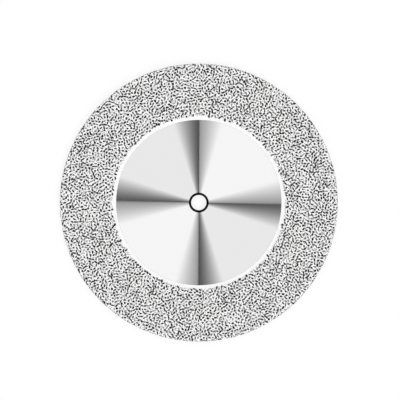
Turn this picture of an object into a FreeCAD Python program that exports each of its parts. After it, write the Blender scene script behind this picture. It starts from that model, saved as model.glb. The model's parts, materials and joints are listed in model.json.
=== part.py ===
import FreeCAD, Part
import os
import Sketcher

# A double-sided diamond disc: a thin spring-steel disc with a bore for a mandrel screw, and a nickel
# plating full of diamond grit that wraps the outer band of both faces and the rim.
# Millimetres. The origin is the centre of the bore at mid-thickness, and +Z is the axis that the disc
# spins on. Both faces are alike, so what is made on the upper face is mirrored to the lower one.

# The driving dimensions: the name of each, its size, and what it measures.
SIZES = (
    ("disc_diameter", 30.0, "over the plated rim"),
    ("bore_diameter", 1.65, "clears the 1.6 mm screw of a mandrel"),
    ("hub_diameter", 17.85, "bare steel that the mandrel clamps, inside the plating"),
    ("blank_thickness", 0.2, "steel sheet at the hub"),
    ("seat_depth", 0.015, "etched off each face of the sheet before it is plated"),
    ("blank_edge_radius", 0.04, "tumbled edge of the steel under the rim's plating"),
    ("lead_in_width", 0.25, "bevel round each mouth of the bore, along the face"),
    ("lead_in_depth", 0.04, "the same bevel, along the bore"),
    ("coating_thickness", 0.145, "nickel and grit on each face, from the etched seat"),
    ("rim_thickness", 0.16, "nickel and grit outside the steel, along the radius"),
    ("rim_corner_radius", 0.1, "where the plating turns from a face to the rim"),
    ("margin_width", 0.4, "smooth nickel without grit, next to the hub"),
    ("margin_thickness", 0.045, "the same smooth nickel, from the etched seat"),
    ("ramp_width", 0.08, "slope from the smooth nickel up to the grit"),
)

DISC_RADIUS = "Sizes.disc_diameter / 2"
BORE_RADIUS = "Sizes.bore_diameter / 2"
HUB_RADIUS = "Sizes.hub_diameter / 2"
BLANK_RADIUS = f"{DISC_RADIUS} - Sizes.rim_thickness"
LEAD_IN_RADIUS = f"{BORE_RADIUS} + Sizes.lead_in_width"
MARGIN_RADIUS = f"{HUB_RADIUS} + Sizes.margin_width"
RAMP_RADIUS = f"{MARGIN_RADIUS} + Sizes.ramp_width"

# Heights above mid-thickness.
HUB_LEVEL = "Sizes.blank_thickness / 2"
LEAD_IN_LEVEL = f"{HUB_LEVEL} - Sizes.lead_in_depth"
SEAT_LEVEL = f"{HUB_LEVEL} - Sizes.seat_depth"
MARGIN_LEVEL = f"{SEAT_LEVEL} + Sizes.margin_thickness"
GRIT_LEVEL = f"{SEAT_LEVEL} + Sizes.coating_thickness"
MID_THICKNESS = "0"

# How a sketch's constraints name the ends and the centre of an edge, and the sketch's own horizontal
# axis, which starts at the origin.
START, END, CENTRE = 1, 2, 3
HORIZONTAL_AXIS = -1

FULL_TURN = 360

# A rounded rim takes at most this share of the wall's half height, so a thin sheet keeps a wall.
ROUNDED_SHARE = 0.9

# How far a measured radius or height may lie from the one looked for.
MATCH = 1e-6


def make_sheet(doc):
    sheet = doc.addObject("Spreadsheet::Sheet", "Sizes")
    for row, (name, size, meaning) in enumerate(SIZES, start=1):
        sheet.set(f"A{row}", name)
        sheet.set(f"B{row}", str(size))
        sheet.setAlias(f"B{row}", name)
        sheet.set(f"C{row}", meaning)
    doc.recompute()
    return sheet


def origin_feature(body, role):
    return next(f for f in body.Origin.OriginFeatures if f.Role == role)


def make_sketch(body, name, plane):
    sketch = body.newObject("Sketcher::SketchObject", name)
    sketch.AttachmentSupport = [(origin_feature(body, plane), "")]
    sketch.MapMode = "FlatFace"
    return sketch


def drive(sketch, constraint, name, expression):
    """Adds a constraint and ties its value to the sheet."""
    index = sketch.addConstraint(constraint)
    sketch.renameConstraint(index, name)
    sketch.setExpression(f"Constraints.{name}", expression)


def draw_circle(sketch, name, radius):
    """Draws a circle about the origin."""
    start = Part.Circle(FreeCAD.Vector(), FreeCAD.Vector(0, 0, 1), float(sketch.evalExpression(radius)))
    circle = sketch.addGeometry(start)
    sketch.addConstraint(Sketcher.Constraint("Coincident", circle, CENTRE, HORIZONTAL_AXIS, START))
    drive(sketch, Sketcher.Constraint("Radius", circle, start.Radius), name, radius)


def draw_outline(sketch, name, corners):
    """Draws a closed outline of straight edges. Each corner is its radius and its height."""
    points = []
    for radius, height in corners:
        points.append(FreeCAD.Vector(sketch.evalExpression(radius), sketch.evalExpression(height), 0))
    edges = []
    for start, end in zip(points, points[1:] + points[:1]):
        edges.append(sketch.addGeometry(Part.LineSegment(start, end)))
    for edge, following in zip(edges, edges[1:] + edges[:1]):
        sketch.addConstraint(Sketcher.Constraint("Coincident", edge, END, following, START))
    for number, (edge, point, (radius, height)) in enumerate(zip(edges, points, corners), start=1):
        across = Sketcher.Constraint("DistanceX", HORIZONTAL_AXIS, START, edge, START, point.x)
        drive(sketch, across, f"{name}_{number}_radius", radius)
        if height == MID_THICKNESS:
            sketch.addConstraint(Sketcher.Constraint("PointOnObject", edge, START, HORIZONTAL_AXIS))
        else:
            up = Sketcher.Constraint("DistanceY", HORIZONTAL_AXIS, START, edge, START, point.y)
            drive(sketch, up, f"{name}_{number}_height", height)


def turn(body, kind, name, sketch):
    """Turns a sketch of the upper half once round the disc's axis, to add or to cut."""
    feature = body.newObject(kind, name)
    feature.Profile = sketch
    feature.ReferenceAxis = (sketch, ["V_Axis"])
    feature.Angle = FULL_TURN
    return feature


def mirror_to_lower_face(body, name, feature):
    mirrored = body.newObject("PartDesign::Mirrored", name)
    mirrored.Originals = [feature]
    mirrored.MirrorPlane = (origin_feature(body, "XY_Plane"), [""])
    body.Tip = mirrored
    return mirrored


def round_rim(body, name, base, ring_radius, ring_height, radius):
    """Rounds the two edges, one on each face, that run round the disc at a radius and a height."""
    body.Document.recompute()
    wanted_radius = body.evalExpression(ring_radius)
    wanted_height = body.evalExpression(ring_height)
    found = []
    for number, edge in enumerate(base.Shape.Edges, start=1):
        curve = edge.Curve
        if not isinstance(curve, Part.Circle):
            continue
        radius_off = abs(curve.Radius - wanted_radius)
        height_off = abs(abs(curve.Center.z) - wanted_height)
        if max(radius_off, height_off) < MATCH:
            found.append(f"Edge{number}")
    fillet = body.newObject("PartDesign::Fillet", name)
    fillet.Base = (base, found)
    fillet.setExpression("Radius", f"min({radius}; {ROUNDED_SHARE} * ({ring_height}))")
    body.Tip = fillet
    return fillet


def make_steel_disc(doc):
    """The blank: punched from sheet, bevelled at the bore and etched where the plating will sit."""
    body = doc.addObject("PartDesign::Body", "steel_disc")
    sheet_outline = make_sketch(body, "BlankOutline", "XY_Plane")
    draw_circle(sheet_outline, "blank_radius", BLANK_RADIUS)
    draw_circle(sheet_outline, "bore_radius", BORE_RADIUS)
    blank = body.newObject("PartDesign::Pad", "Blank")
    blank.Profile = sheet_outline
    blank.SideType = "Symmetric"
    blank.setExpression("Length", "Sizes.blank_thickness")

    section = make_sketch(body, "FaceSection", "XZ_Plane")
    draw_outline(
        section,
        "seat",
        (
            (HUB_RADIUS, SEAT_LEVEL),
            (BLANK_RADIUS, SEAT_LEVEL),
            (BLANK_RADIUS, HUB_LEVEL),
            (HUB_RADIUS, HUB_LEVEL),
        ),
    )
    draw_outline(
        section,
        "lead_in",
        (
            (BORE_RADIUS, LEAD_IN_LEVEL),
            (LEAD_IN_RADIUS, HUB_LEVEL),
            (BORE_RADIUS, HUB_LEVEL),
        ),
    )
    face = turn(body, "PartDesign::Groove", "UpperFace", section)
    both_faces = mirror_to_lower_face(body, "BothFaces", face)
    round_rim(body, "TumbledEdge", both_faces, BLANK_RADIUS, SEAT_LEVEL, "Sizes.blank_edge_radius")
    return body


def make_coating(doc, steel_disc):
    """The plating: a channel round the rim that takes the exact form of the steel it is grown on."""
    body = doc.addObject("PartDesign::Body", "coating_outside")
    section = make_sketch(body, "CoatingSection", "XZ_Plane")
    draw_outline(
        section,
        "coating",
        (
            (HUB_RADIUS, MID_THICKNESS),
            (DISC_RADIUS, MID_THICKNESS),
            (DISC_RADIUS, GRIT_LEVEL),
            (RAMP_RADIUS, GRIT_LEVEL),
            (MARGIN_RADIUS, MARGIN_LEVEL),
            (HUB_RADIUS, MARGIN_LEVEL),
        ),
    )
    upper = turn(body, "PartDesign::Revolution", "UpperHalf", section)
    both_halves = mirror_to_lower_face(body, "BothHalves", upper)
    round_rim(body, "RimCorner", both_halves, DISC_RADIUS, GRIT_LEVEL, "Sizes.rim_corner_radius")

    coating = doc.addObject("Part::Cut", "diamond_coating")
    coating.Base = body
    coating.Tool = steel_disc
    return coating


def check(doc, parts):
    for item in doc.Objects:
        if {"Invalid", "Error"} & set(item.State):
            raise RuntimeError(f"{item.Label} failed: {item.State}")
        is_groove = item.TypeId == "PartDesign::Groove"
        if is_groove and item.Shape.Volume >= item.BaseFeature.Shape.Volume:
            raise RuntimeError(f"{item.Label} cuts nothing")
    for item in parts:
        if item.Shape.isNull() or not item.Shape.isValid():
            raise RuntimeError(f"{item.Label} has no valid shape")
        if len(item.Shape.Solids) != 1:
            raise RuntimeError(f"{item.Label} has {len(item.Shape.Solids)} solids, and it is one piece")


def main():
    doc = FreeCAD.newDocument("diamond_disc")
    make_sheet(doc)
    steel_disc = make_steel_disc(doc)
    coating = make_coating(doc, steel_disc)
    doc.recompute()
    parts = (steel_disc, coating)
    check(doc, parts)
    os.makedirs("parts", exist_ok=True)
    for item in parts:
        item.Shape.exportStep(f"parts/{item.Label}.step")
        print(f"{item.Label}: {item.Shape.Volume:.4f} mm3")


main()
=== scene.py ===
import json
import math

import bpy
import numpy as np
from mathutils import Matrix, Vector, kdtree, noise


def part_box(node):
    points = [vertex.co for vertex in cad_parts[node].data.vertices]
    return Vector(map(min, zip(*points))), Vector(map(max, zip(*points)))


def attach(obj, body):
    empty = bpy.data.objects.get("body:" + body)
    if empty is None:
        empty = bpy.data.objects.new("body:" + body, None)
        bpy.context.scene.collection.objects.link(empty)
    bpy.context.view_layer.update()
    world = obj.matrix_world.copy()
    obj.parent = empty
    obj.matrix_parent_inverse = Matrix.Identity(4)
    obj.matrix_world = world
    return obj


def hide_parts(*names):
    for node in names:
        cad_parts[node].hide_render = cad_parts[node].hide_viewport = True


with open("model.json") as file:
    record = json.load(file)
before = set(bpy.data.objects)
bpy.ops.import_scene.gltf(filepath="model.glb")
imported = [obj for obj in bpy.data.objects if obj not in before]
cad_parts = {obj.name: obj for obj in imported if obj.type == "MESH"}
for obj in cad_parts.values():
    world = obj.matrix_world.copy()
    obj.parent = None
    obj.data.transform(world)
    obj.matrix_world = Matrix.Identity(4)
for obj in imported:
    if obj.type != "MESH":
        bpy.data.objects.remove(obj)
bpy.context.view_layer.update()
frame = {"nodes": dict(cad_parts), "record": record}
bpy.context.scene.view_settings.view_transform = "Standard"


# The steel disc. It is punched from spring-steel sheet, and its faces are turned, which leaves fine rings
# round the bore that throw the light back in streaks. One flank of each ring leans out and the other in.
# The bevel round the bore is painted near black, as painted shade.

MM = 0.001
STEEL_GREY = 0.7
STEEL_ROUGHNESS = 0.05
# The near-black grey painted on the bevel round the bore is painted shade.
PAINTED_BEVEL_SHADE_GREY = 0.008
BEVEL_WIDTH = 0.25 * MM
RING_PITCH = 0.06 * MM
RING_SLOPE = 0.27
SLOPE_CHANGE = 0.9
SLOPE_CHANGES_PER_METRE = 9000

bore = next(mount for mount in frame["record"]["mounts"] if mount["name"] == "bore")
BEVEL_RADIUS = bore["dims"]["r_mm"] * MM + BEVEL_WIDTH


class Wire:
    """A node's output. Arithmetic on wires adds Math nodes, and node() adds a node of any other kind."""

    def __init__(self, tree, output=None):
        self.tree = tree
        self.output = output

    def node(self, kind, settings=None, inputs=None):
        """Adds a node. Its own settings come first, and then the values or the links of its sockets."""
        made = self.tree.nodes.new(kind)
        for name, value in (settings or {}).items():
            if name == "stops":
                self.set_stops(made.color_ramp, value)
            else:
                setattr(made, name, value)
        for name, value in (inputs or {}).items():
            if isinstance(value, Wire):
                self.tree.links.new(value.output, made.inputs[name])
            else:
                made.inputs[name].default_value = value
        return Wire(self.tree, next((o for o in made.outputs if o.enabled), None))

    @staticmethod
    def set_stops(ramp, stops):
        """Gives a ramp its stops. Each is a place from 0 to 1 and the grey there."""
        for _ in range(len(stops) - len(ramp.elements)):
            ramp.elements.new(1)
        for element, (place, grey) in zip(ramp.elements, stops):
            element.position = place
            element.color = (grey, grey, grey, 1)

    def __getitem__(self, name):
        """Another output of the same node."""
        return Wire(self.tree, self.output.node.outputs[name])

    def math(self, operation, first, second=0.0):
        return self.node("ShaderNodeMath", {"operation": operation}, {0: first, 1: second})

    def vector(self, operation, **inputs):
        """Vector Math on inputs named by their place: a, b, and scale."""
        names = {"a": 0, "b": 1, "scale": "Scale"}
        sockets = {names[name]: value for name, value in inputs.items()}
        return self.node("ShaderNodeVectorMath", {"operation": operation}, sockets)

    def __add__(self, other):
        return self.math("ADD", self, other)

    __radd__ = __add__

    def __mul__(self, other):
        return self.math("MULTIPLY", self, other)

    __rmul__ = __mul__

    def __sub__(self, other):
        return self.math("SUBTRACT", self, other)

    def __rsub__(self, other):
        return self.math("SUBTRACT", other, self)

    def __truediv__(self, other):
        return self.math("DIVIDE", self, other)

    def __rtruediv__(self, other):
        return self.math("DIVIDE", other, self)

    def __pow__(self, other):
        return self.math("POWER", self, other)

    def __rpow__(self, other):
        return self.math("POWER", other, self)

    def __mod__(self, other):
        return self.math("MODULO", self, other)

    def __rmod__(self, other):
        return self.math("MODULO", other, self)

    def __gt__(self, other):
        return self.math("GREATER_THAN", self, other)

    def __lt__(self, other):
        return self.math("LESS_THAN", self, other)

    def least(self, other):
        """The smaller of this wire and another."""
        return self.math("MINIMUM", self, other)

    def mix(self, start, end):
        """A grey that goes from start to end as this wire goes from 0 to 1. A Mix node's two colours are its
        sockets 6 and 7."""
        ends = {socket: (grey, grey, grey, 1) for socket, grey in ((6, start), (7, end))}
        return self.node("ShaderNodeMix", {"data_type": "RGBA"}, {"Factor": self, **ends})


def start_material(name):
    """An empty node material, and a wire to hang its nodes on."""
    material = bpy.data.materials.new(name)
    material.use_nodes = True
    material.node_tree.nodes.clear()
    return material, Wire(material.node_tree)


def finish_surface(wire, **inputs):
    """Ends a material in one Principled shader with these sockets."""
    names = {name.replace("_", " "): value for name, value in inputs.items()}
    shader = wire.node("ShaderNodeBsdfPrincipled", inputs=names)
    wire.node("ShaderNodeOutputMaterial", inputs={"Surface": shader})


def turned_steel():
    material, wire = start_material("turned_steel")
    place = wire.node("ShaderNodeTexCoord")["Object"]
    across = wire.node("ShaderNodeSeparateXYZ", inputs={"Vector": place})
    x, y = across["X"], across["Y"]
    radius = (x * x + y * y) ** 0.5
    # Inside BEVEL_RADIUS the bevel is painted near black, as painted shade, and it has no rings.
    beyond_painted_shade = radius > BEVEL_RADIUS

    wander = wire.node(
        "ShaderNodeTexNoise",
        {"noise_dimensions": "1D"},
        {"W": radius * SLOPE_CHANGES_PER_METRE, "Scale": 1.0, "Detail": 2.0},
    )["Fac"]
    flank = ((radius / RING_PITCH) % 1.0 > 0.5) * 2 - 1
    slope = flank * beyond_painted_shade * RING_SLOPE * (1 + SLOPE_CHANGE * (wander * 2 - 1))
    outward = wire.node("ShaderNodeCombineXYZ", inputs={"X": x / radius, "Y": y / radius, "Z": 0.0})
    face = wire.node("ShaderNodeNewGeometry")["Normal"]
    leaning = wire.vector("ADD", a=face, b=wire.vector("SCALE", a=outward, scale=slope))
    finish_surface(
        wire,
        Base_Color=beyond_painted_shade.mix(PAINTED_BEVEL_SHADE_GREY, STEEL_GREY),
        Metallic=1.0,
        Roughness=STEEL_ROUGHNESS,
        Normal=wire.vector("NORMALIZE", a=leaning),
    )
    return material


steel_material = turned_steel()
for slot in frame["nodes"]["steel_disc"].material_slots:
    slot.material = steel_material


# The diamond grain. Blocky crystals are tacked to the etched steel of both faces and of the rim, as close
# together as they will lie, with splinters in the gaps, before the nickel is grown round them. Their tips
# stand proud of the nickel. No two are alike: some are pale, and most are dark. Each facet's grey also
# differs a little at random from the rest of its grain's, as painted glints.

plating_low, plating_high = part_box("diamond_coating")
steel_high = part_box("steel_disc")[1]
TIP_RADIUS = plating_high.x
TIP_LEVEL = plating_high.z
HUB_RADIUS = min(math.hypot(v.co.x, v.co.y) for v in frame["nodes"]["diamond_coating"].data.vertices)
STEEL_RADIUS = steel_high.x
SEAT_DEPTH = 0.015 * MM
SEAT_LEVEL = steel_high.z - SEAT_DEPTH
MARGIN_WIDTH = 0.4 * MM
MARGIN_TO_SEATS = 0.025 * MM
FACE_INNER = HUB_RADIUS + MARGIN_WIDTH + MARGIN_TO_SEATS

GRAIN_ROOM = 0.262 * MM
GRAIN_WIDTHS = (0.272 * MM, 0.335 * MM)
RIM_ROOM = 0.17 * MM
RIM_WIDTHS = (0.19 * MM, 0.265 * MM)
FINE_ROOM = 0.14 * MM
FINE_WIDTHS = (0.12 * MM, 0.15 * MM)
FACE_HEIGHTS = (0.13 * MM, 0.142 * MM)
RIM_HEIGHTS = (0.13 * MM, 0.15 * MM)
HEIGHT_OF_MIDDLE = 0.07 * MM
STEEPEST_RIM_GRAIN = math.radians(70)
FOOT_CLEARANCE = 0.002 * MM

LONGER = (1.1, 1.5)
UNEVEN = (0.85, 1.15)
CORNER_SHIFT = 0.08
BLUNTNESS = 0.6
# The share of a facet's grey that is its grain's own tone. The rest is a painted glint that differs from
# facet to facet.
SHADE_OF_WHOLE_GRAIN = 0.8
SHADE_STOPS = ((0.0, 0.003), (0.45, 0.01), (0.7, 0.1), (1.0, 0.5))

FACE_TRIES = 90000
RIM_TRIES = 20000
SHAKEN_APART = 1.5 * GRAIN_ROOM
SHAKE = 0.12
BAKE_INSET = 0.15
SEED = 11

rng = np.random.default_rng(SEED)
seated = []


def cell_of(place):
    """The cube of space that a place lies in. Cubes are as wide as the largest room."""
    return tuple(int(c // GRAIN_ROOM) for c in place)


def spread_out(middles, room):
    """Numbers of the places, in turn, that have room beside the seated grains and those kept before. Two
    grains lie as far apart as half the room of one and half the room of the other."""
    cells = {}
    for place, others_room in seated:
        cells.setdefault(cell_of(place), []).append((place, others_room))
    beside = (-1, 0, 1)
    kept = []
    for number, place in enumerate(map(tuple, middles)):
        i, j, k = cell_of(place)
        near = ((i + a, j + b, k + c) for a in beside for b in beside for c in beside)
        others = (other for cell in near for other in cells.get(cell, ()))
        if all(math.dist(place, other) >= (room + others_room) / 2 for other, others_room in others):
            cells.setdefault((i, j, k), []).append((place, room))
            kept.append(number)
    return kept


def shaken(seats):
    """The seats after the disc is shaken, which moves each grain away from those that lie beside it."""
    tree = kdtree.KDTree(len(seats))
    for number, seat in enumerate(seats):
        tree.insert(seat, number)
    tree.balance()
    moved = []
    for seat in map(Vector, seats):
        push = Vector()
        for other, _, gap in tree.find_range(seat, SHAKEN_APART):
            if gap > 0:
                push += (seat - other) * (SHAKEN_APART / gap - 1)
        moved.append(seat + push * SHAKE)
    return np.array(moved)


def face_seats(sign, inner, outer):
    """Random seats on a face between two radii, and the way that is outward at each."""
    radius = np.sqrt(rng.uniform(inner**2, outer**2, FACE_TRIES))
    turn = rng.uniform(0, 2 * math.pi, FACE_TRIES)
    level = np.full(FACE_TRIES, sign * SEAT_LEVEL)
    seats = np.stack([radius * np.cos(turn), radius * np.sin(turn), level], axis=1)
    return seats, np.tile([0.0, 0.0, sign], (FACE_TRIES, 1))


def rim_seats():
    """Random seats across the steel's edge, and the way that is outward at each. The nearer a seat is to a
    face, the more its grain leans that way."""
    turn = rng.uniform(0, 2 * math.pi, RIM_TRIES)
    lean = rng.uniform(-STEEPEST_RIM_GRAIN, STEEPEST_RIM_GRAIN, RIM_TRIES)
    level = SEAT_LEVEL * np.sin(lean) / math.sin(STEEPEST_RIM_GRAIN)
    seats = np.stack([STEEL_RADIUS * np.cos(turn), STEEL_RADIUS * np.sin(turn), level], axis=1)
    outward = np.stack([np.cos(turn) * np.cos(lean), np.sin(turn) * np.cos(lean), np.sin(lean)], axis=1)
    return seats, outward


def splinter():
    """An octahedron, as the fines are that break off: 6 corners and 8 triangles, each a facet."""
    corners = np.array([(1, 0, 0), (0, 1, 0), (-1, 0, 0), (0, -1, 0), (0, 0, 1), (0, 0, -1)])
    triangles = []
    for first, second in ((0, 1), (1, 2), (2, 3), (3, 0)):
        triangles.extend([(first, second, 4), (second, first, 5)])
    return corners, np.array(triangles), np.arange(len(triangles))


def in_turn(side, corners):
    """The numbers of one facet's corners, in turn round its middle."""
    middle = corners[side].mean(axis=0)
    across = corners[side[0]] - middle
    up = np.cross(middle, across)

    def angle(number):
        spoke = corners[number] - middle
        return math.atan2(spoke @ up, spoke @ across)

    return sorted(side, key=angle)


def crystal():
    """A cuboctahedron, as a cube is with its corners cut off to mid-edge: 12 corners, and 20 triangles that
    make up 14 facets."""
    ends = (-1, 1)
    corners = []
    for axis in range(3):
        for a in ends:
            for b in ends:
                corner = [a, b]
                corner.insert(axis, 0)
                corners.append(corner)
    corners = np.array(corners) / math.sqrt(2)

    facet_directions = [np.array((x, y, z)) for z in ends for x in ends for y in ends]
    facet_directions += [end * axis for axis in np.eye(3) for end in ends]
    triangles = []
    facets = []
    for facet, direction in enumerate(facet_directions):
        reach = corners @ direction
        side = np.flatnonzero(np.isclose(reach, reach.max()))
        first, *others = in_turn(side, corners)
        for second, third in zip(others, others[1:]):
            triangles.append([first, second, third])
            facets.append(facet)
    return corners, np.array(triangles), np.array(facets)


def random_turns(count):
    """Rotation matrices in every direction alike, from random quaternions."""
    q = rng.normal(size=(count, 4))
    w, x, y, z = (q / np.linalg.norm(q, axis=1, keepdims=True)).T
    rows = [
        [1 - 2 * (y * y + z * z), 2 * (x * y - z * w), 2 * (x * z + y * w)],
        [2 * (x * y + z * w), 1 - 2 * (x * x + z * z), 2 * (y * z - x * w)],
        [2 * (x * z - y * w), 2 * (y * z + x * w), 1 - 2 * (x * x + y * y)],
    ]
    return np.moveaxis(np.array(rows), -1, 0)


def uneven_shapes(corners, count, widths):
    """The corners of many grains, each uneven, turned at random and longer one way than across it."""
    shapes = corners * rng.uniform(*UNEVEN, (count, 1, 3))
    shapes += rng.normal(0, CORNER_SHIFT, (count, len(corners), 3))
    shapes = np.einsum("gij,gkj->gki", random_turns(count), shapes)
    longer = rng.uniform(*LONGER, (count, 1, 1))
    shapes[:, :, 0:1] *= longer
    shapes[:, :, 1:2] /= longer
    return shapes * (rng.uniform(*widths, (count, 1, 1)) / 2)


def make_piece(name, points, faces, material):
    """A new piece that rides the disc, in place of the plating's solid."""
    mesh = bpy.data.meshes.new(name)
    mesh.from_pydata(points, [], faces)
    mesh.materials.append(material)
    piece = bpy.data.objects.new(name, mesh)
    bpy.context.scene.collection.objects.link(piece)
    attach(piece, "root")
    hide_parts("diamond_coating")
    return piece


def give_each_triangle_a_place(mesh):
    """A map on which each triangle has a square of its own."""
    count = len(mesh.polygons)
    side = math.ceil(math.sqrt(count))
    square = np.arange(count)
    start = np.stack([square % side, square // side], axis=1)
    far = 1 - BAKE_INSET
    corners = np.array([(BAKE_INSET, BAKE_INSET), (far, BAKE_INSET), (BAKE_INSET, far)])
    places = (start[:, None] + corners) / side
    mesh.uv_layers.new(name="OFBake").data.foreach_set("uv", places.ravel())


def make_grains(name, kind, heights, seats, outward):
    """Grains of a kind, which is their form, room and widths, with their feet on the steel. Each row of
    seats and of outward is one grain's."""
    (corners, triangles, facets), room, widths = kind
    count = len(seats)
    seated.extend((tuple(middle), room) for middle in seats + outward * HEIGHT_OF_MIDDLE)
    shapes = uneven_shapes(corners, count, widths)
    rise = shapes[:, :, 2]
    foot = rise.min(axis=1, keepdims=True)
    tip = rise.max(axis=1, keepdims=True)
    height = rng.uniform(*heights, (count, 1)) - FOOT_CLEARANCE
    rise = FOOT_CLEARANCE + ((rise - foot) / (tip - foot)) ** BLUNTNESS * height

    along = np.cross(outward, rng.normal(size=(count, 3)))
    along /= np.linalg.norm(along, axis=1, keepdims=True)
    across = np.cross(outward, along)
    points = seats[:, None] + shapes[:, :, 0:1] * along[:, None] + shapes[:, :, 1:2] * across[:, None]
    points = (points + rise[:, :, None] * outward[:, None]).reshape(-1, 3)
    points[:, 2] = points[:, 2].clip(-TIP_LEVEL, TIP_LEVEL)
    points[:, :2] *= np.minimum(1, TIP_RADIUS / np.hypot(points[:, 0], points[:, 1]))[:, None]

    faces = (triangles + len(corners) * np.arange(count)[:, None, None]).reshape(-1, 3)
    piece = make_piece(name, points.tolist(), faces.tolist(), diamond_material)
    # A facet's grey is its grain's own tone with a painted glint of its own mixed in.
    painted_facet_glints = rng.uniform(0, 1, (count, facets.max() + 1))[:, facets]
    grain_shades = rng.uniform(0, 1, (count, 1))
    tones_with_painted_glints = painted_facet_glints * (1 - SHADE_OF_WHOLE_GRAIN) + grain_shades * SHADE_OF_WHOLE_GRAIN
    tone = piece.data.attributes.new("tone", "FLOAT", "FACE")
    tone.data.foreach_set("value", tones_with_painted_glints.ravel())
    give_each_triangle_a_place(piece.data)


def diamond():
    material, wire = start_material("diamond_grain")
    tone = wire.node("ShaderNodeAttribute", {"attribute_name": "tone"})["Fac"]
    grey = wire.node("ShaderNodeValToRGB", {"stops": SHADE_STOPS}, {"Fac": tone})
    finish_surface(wire, Base_Color=grey, Roughness=0.2, IOR=1.6, Specular_IOR_Level=0.2)
    return material


diamond_material = diamond()
coarse = (crystal(), GRAIN_ROOM, GRAIN_WIDTHS)
coarse_on_rim = (crystal(), RIM_ROOM, RIM_WIDTHS)
fine = (splinter(), FINE_ROOM, FINE_WIDTHS)
for name, sign in (("grains_upper_face", 1), ("grains_lower_face", -1)):
    seats, outward = face_seats(sign, FACE_INNER - GRAIN_ROOM, STEEL_RADIUS + GRAIN_ROOM)
    kept = spread_out(seats + outward * HEIGHT_OF_MIDDLE, GRAIN_ROOM)
    seats, outward = shaken(seats[kept]), outward[kept]
    radius = np.hypot(seats[:, 0], seats[:, 1])
    kept = (radius > FACE_INNER) & (radius < STEEL_RADIUS)
    make_grains(name, coarse, FACE_HEIGHTS, seats[kept], outward[kept])

# The seats of all four are drawn before the first is made. Each then takes the room that is still free.
for name, kind, heights, (seats, outward) in (
    ("grains_rim", coarse_on_rim, RIM_HEIGHTS, rim_seats()),
    ("fines_upper_face", fine, FACE_HEIGHTS, face_seats(1, FACE_INNER, STEEL_RADIUS)),
    ("fines_lower_face", fine, FACE_HEIGHTS, face_seats(-1, FACE_INNER, STEEL_RADIUS)),
    ("fines_rim", fine, RIM_HEIGHTS, rim_seats()),
):
    room = kind[1]
    kept = spread_out(seats + outward * HEIGHT_OF_MIDDLE, room)
    make_grains(name, kind, heights, seats[kept], outward[kept])


# The nickel. It is one skin, plated over the outer band of both faces and the rim up to about three fifths
# of the height of the grains, and it climbs a little way up each one. It stays smooth and bare of grain
# beside the hub. Three pieces make it up here, and they meet just inside the steel's edge.

NICKEL_GREY = 0.95
NICKEL_GREY_CHANGE = 0.03
NICKEL_ROUGHNESS = 0.6
FROST_PER_METRE = 40000.0
FROST_HEIGHT = 0.004 * MM
MARGIN_THICKNESS = 0.045 * MM
MARGIN_LEVEL = SEAT_LEVEL + MARGIN_THICKNESS
NICKEL_THICKNESS = 0.085 * MM
NICKEL_LEVEL = SEAT_LEVEL + NICKEL_THICKNESS
NICKEL_RADIUS = STEEL_RADIUS + NICKEL_THICKNESS
CORNER_RADIUS = 0.07 * MM
RAMP_WIDTH = 0.08 * MM
RIM_REACH = 0.14 * MM
FACE_TO_RIM_RADIUS = STEEL_RADIUS - RIM_REACH
CLIMB = 0.012 * MM
CLIMB_REACH = 0.05 * MM
NODULE_HEIGHT = 0.006 * MM
NODULE_SIZE = 0.08 * MM
TURN_STEPS = 1024
FACE_STEPS = 84
CORNER_STEPS = 6
RIM_STEPS = 4
SHARP_ANGLE = math.radians(60)


def nickel():
    material, wire = start_material("nickel_plating")
    place = wire.node("ShaderNodeTexCoord")["Object"]
    noise_inputs = {"Vector": place, "Scale": FROST_PER_METRE, "Detail": 3.0}
    frost = wire.node("ShaderNodeTexNoise", inputs=noise_inputs)["Fac"]
    bump = wire.node("ShaderNodeBump", inputs={"Strength": 0.3, "Distance": FROST_HEIGHT, "Height": frost})
    finish_surface(
        wire,
        # The grey follows the frost's bumps: darker in their hollows and paler on their tops.
        Base_Color=frost.mix(NICKEL_GREY - NICKEL_GREY_CHANGE, NICKEL_GREY + NICKEL_GREY_CHANGE),
        Metallic=0.3,
        Roughness=NICKEL_ROUGHNESS,
        Normal=bump,
    )
    return material


def grown(place, outward):
    """Where the nickel's surface lies at a place: rough with nodules, and higher round each grain."""
    nodule = noise.noise(place / NODULE_SIZE) * NODULE_HEIGHT
    distance = grain_middles.find(place)[2]
    climb = CLIMB * math.exp(-((max(0, distance - GRAIN_WIDTHS[0] / 2) / CLIMB_REACH) ** 2))
    return place + outward * (nodule + climb)


def sweep_ring(name, section, material):
    """Turns a closed section round the axis. Each of its points is a radius, a level and, where the nickel
    is rough, the direction that it grows in, also as a radius and a level."""
    turns = np.arange(TURN_STEPS) * (2 * math.pi / TURN_STEPS)
    points = []
    for radius, level, growth in section:
        for c, s in zip(np.cos(turns), np.sin(turns)):
            place = Vector((radius * c, radius * s, level))
            if growth:
                place = grown(place, Vector((growth[0] * c, growth[0] * s, growth[1])))
            points.append(place)
    step = np.arange(TURN_STEPS)
    beside = (step + 1) % TURN_STEPS
    ring = np.arange(len(section))[:, None] * TURN_STEPS
    after = np.roll(ring, -1, axis=0)
    faces = np.stack([ring + step, ring + beside, after + beside, after + step], axis=-1).reshape(-1, 4)
    mesh = make_piece(name, points, faces.tolist(), material).data
    mesh.polygons.foreach_set("use_smooth", np.ones(len(faces), dtype=bool))
    mesh.set_sharp_from_angle(angle=SHARP_ANGLE)
    corners = np.array([(0, 0), (1, 0), (1, 1), (0, 1)])
    across, up = np.meshgrid(step, np.arange(len(section)))
    start = np.stack([across, up], axis=-1).reshape(-1, 1, 2)
    places = (start + corners) / [TURN_STEPS, len(section)]
    mesh.uv_layers.new(name="OFBake").data.foreach_set("uv", places.ravel())


grain_middles = kdtree.KDTree(len(seated))
for number, (middle, _) in enumerate(seated):
    grain_middles.insert(middle, number)
grain_middles.balance()

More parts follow.
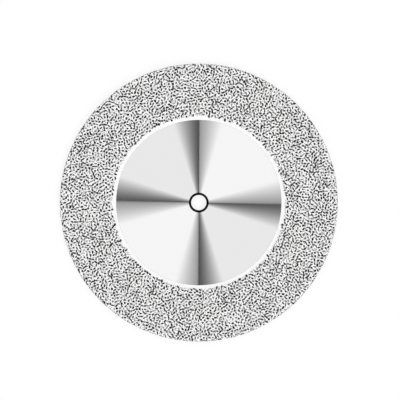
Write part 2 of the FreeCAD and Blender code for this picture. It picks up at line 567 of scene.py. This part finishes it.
nickel_material = nickel()
margin_end = HUB_RADIUS + MARGIN_WIDTH
for name, sign in (("nickel_upper_face", 1), ("nickel_lower_face", -1)):
    section = [
        (FACE_TO_RIM_RADIUS, sign * SEAT_LEVEL, None),
        (HUB_RADIUS, sign * SEAT_LEVEL, None),
        (HUB_RADIUS, sign * MARGIN_LEVEL, None),
        (margin_end, sign * MARGIN_LEVEL, None),
    ]
    for radius in np.linspace(margin_end + RAMP_WIDTH, FACE_TO_RIM_RADIUS, FACE_STEPS):
        section.append((radius, sign * NICKEL_LEVEL, (0, sign)))
    sweep_ring(name, section[::-sign], nickel_material)

corner_start = NICKEL_RADIUS - CORNER_RADIUS
side_level = NICKEL_LEVEL - CORNER_RADIUS
quarter = []
for radius in (FACE_TO_RIM_RADIUS, (FACE_TO_RIM_RADIUS + corner_start) / 2):
    quarter.append((radius, NICKEL_LEVEL, (0, 1)))
for angle in np.radians(np.linspace(90, 0, CORNER_STEPS)):
    c, s = math.cos(angle), math.sin(angle)
    quarter.append((corner_start + CORNER_RADIUS * c, NICKEL_LEVEL + CORNER_RADIUS * (s - 1), (c, s)))
section = list(quarter)
for level in np.linspace(side_level, -side_level, RIM_STEPS + 1)[1:-1]:
    section.append((NICKEL_RADIUS, level, (1, 0)))
section.extend((radius, -level, (out, -up)) for radius, level, (out, up) in reversed(quarter))
section.extend([(FACE_TO_RIM_RADIUS, -SEAT_LEVEL, None), (STEEL_RADIUS, -SEAT_LEVEL, None)])
section.extend([(STEEL_RADIUS, SEAT_LEVEL, None), (FACE_TO_RIM_RADIUS, SEAT_LEVEL, None)])
sweep_ring("nickel_rim", section[::-1], nickel_material)


# The camera. It stands straight above the disc, as in the photograph, and has a long lens. The disc is as
# wide in the picture, and lies as far from its centre, as it does there.

PICTURE_SIZE = 400
DISC_WIDTH_PX = 278
DISC_CENTRE_PX = (198.8, 202.6)
LENS = 200
SENSOR = 36
FARTHEST_SEEN = 10

pixel = 2 * TIP_RADIUS / DISC_WIDTH_PX
camera = bpy.data.objects.new("camera", bpy.data.cameras.new("camera"))
camera.data.lens = LENS
camera.data.sensor_width = SENSOR
camera.data.clip_end = FARTHEST_SEEN
camera.location = (
    (PICTURE_SIZE / 2 - DISC_CENTRE_PX[0]) * pixel,
    (DISC_CENTRE_PX[1] - PICTURE_SIZE / 2) * pixel,
    PICTURE_SIZE * pixel * LENS / SENSOR,
)
bpy.context.scene.collection.objects.link(camera)
bpy.context.scene.camera = camera


# The floor. It is a sheet of pale paper, which takes the disc's shadow. Part of what the camera, metal and
# glass see of it is a white of its own, so that it looks as white as the photograph's background.

FLOOR_HALF = 1.5
PAPER_GREY = 0.95
WHITE_SHARE = 0.75

floor_mesh = bpy.data.meshes.new("floor")
floor_corners = []
for x, y in ((-1, -1), (1, -1), (1, 1), (-1, 1)):
    floor_corners.append((x * FLOOR_HALF, y * FLOOR_HALF, plating_low.z))
floor_mesh.from_pydata(floor_corners, [], [(0, 1, 2, 3)])
floor = bpy.data.objects.new("floor", floor_mesh)
bpy.context.scene.collection.objects.link(floor)

floor_material, wire = start_material("floor")
ray = wire.node("ShaderNodeLightPath")
seen = ray["Is Camera Ray"] + ray["Is Glossy Ray"] + ray["Is Transmission Ray"]
paper = wire.node("ShaderNodeBsdfDiffuse", inputs={"Color": (PAPER_GREY, PAPER_GREY, PAPER_GREY, 1)})
white = wire.node("ShaderNodeEmission", inputs={"Color": (1, 1, 1, 1), "Strength": 1.0})
both = wire.node("ShaderNodeMixShader", inputs={0: seen * WHITE_SHARE, 1: paper, 2: white})
wire.node("ShaderNodeOutputMaterial", inputs={"Surface": both})
floor_mesh.materials.append(floor_material)


# The tent. Four white cloths hang round the disc and grow darker towards their seams, two of them more than
# the other two, and all of them are dimmer near the floor. A dark slit is left open in the north seam and
# in the south one. The tent is alike under a half turn, because a turned ring mirrors both of its sides.

# Angles are in degrees, and greys are a screen's, from 0 to 255.
EAST_SEAM = -0.9
NORTH_SEAM = 89.9
SLIT_HALF_WIDTH = 0.35
SLIT_GREY = 5
LIT_EDGE_GREY = 150
LIT_MIDDLE_GREY = 245
LIT_FADE_WIDTH = 16.6
DIM_EDGE_GREY = 75
DIM_MIDDLE_GREY = 232
DIM_FADE_WIDTH = 17.6
WHITE_GREY = 255
SCREEN_GAMMA = 2.2

# The tent gives this share of its light at the floor, and all of it from this height up. Overhead is 1.
LIGHT_AT_FLOOR = 0.55
FULL_LIGHT_HEIGHT = 0.7

world = bpy.data.worlds.new("tent")
bpy.context.scene.world = world
world.use_nodes = True
world.node_tree.nodes.clear()
wire = Wire(world.node_tree)
direction = wire.node("ShaderNodeTexCoord")["Generated"]
parts = wire.node("ShaderNodeSeparateXYZ", inputs={"Vector": direction})
azimuth = wire.math("ARCTAN2", parts["Y"], parts["X"]) * math.degrees(1)
past_east = (azimuth + 360 - EAST_SEAM) % 180
from_north = wire.math("ABSOLUTE", past_east - (NORTH_SEAM - EAST_SEAM))
from_seam = past_east.least(180 - past_east).least(from_north)
is_dim = past_east > NORTH_SEAM - EAST_SEAM


def by_cloth(lit, dim):
    """One value on the two lit cloths, and the other on the two dim ones."""
    return lit + is_dim * (dim - lit)


edge = by_cloth(LIT_EDGE_GREY, DIM_EDGE_GREY)
middle = by_cloth(LIT_MIDDLE_GREY, DIM_MIDDLE_GREY)
cloth = edge + (middle - edge) * (from_seam / by_cloth(LIT_FADE_WIDTH, DIM_FADE_WIDTH)).least(1.0)
grey = SLIT_GREY + (from_north > SLIT_HALF_WIDTH) * (cloth - SLIT_GREY)
stops = ((0.0, LIGHT_AT_FLOOR), (FULL_LIGHT_HEIGHT, 1.0))
light = wire.node("ShaderNodeValToRGB", {"stops": stops}, {"Fac": parts["Z"]})

# The steel gives back only a share of what it mirrors, so the tent is that much brighter.
strength = (grey / WHITE_GREY) ** SCREEN_GAMMA / STEEL_GREY * light
tent = wire.node("ShaderNodeBackground", inputs={"Color": (1, 1, 1, 1), "Strength": strength})
backdrop = wire.node("ShaderNodeBackground", inputs={"Color": (1, 1, 1, 1), "Strength": 1.0})
by_camera = wire.node("ShaderNodeLightPath")["Is Camera Ray"]
both = wire.node("ShaderNodeMixShader", inputs={0: by_camera, 1: tent, 2: backdrop})
wire.node("ShaderNodeOutputWorld", inputs={"Surface": both})


# The lamp. It is a broad one, low in the south-east, which lights one side of each grain. It stands behind
# the tent's cloth, so the steel doesn't mirror it.

LAMP_STRENGTH = 0.74
LAMP_BREADTH = math.radians(20)
LAMP_FROM_ABOVE = math.radians(62)
LAMP_TURN = math.radians(35)

lamp = bpy.data.objects.new("lamp", bpy.data.lights.new("lamp", "SUN"))
lamp.data.energy = LAMP_STRENGTH
lamp.data.angle = LAMP_BREADTH
lamp.rotation_euler = (LAMP_FROM_ABOVE, 0, LAMP_TURN)
bpy.context.scene.collection.objects.link(lamp)
lamp.visible_glossy = False
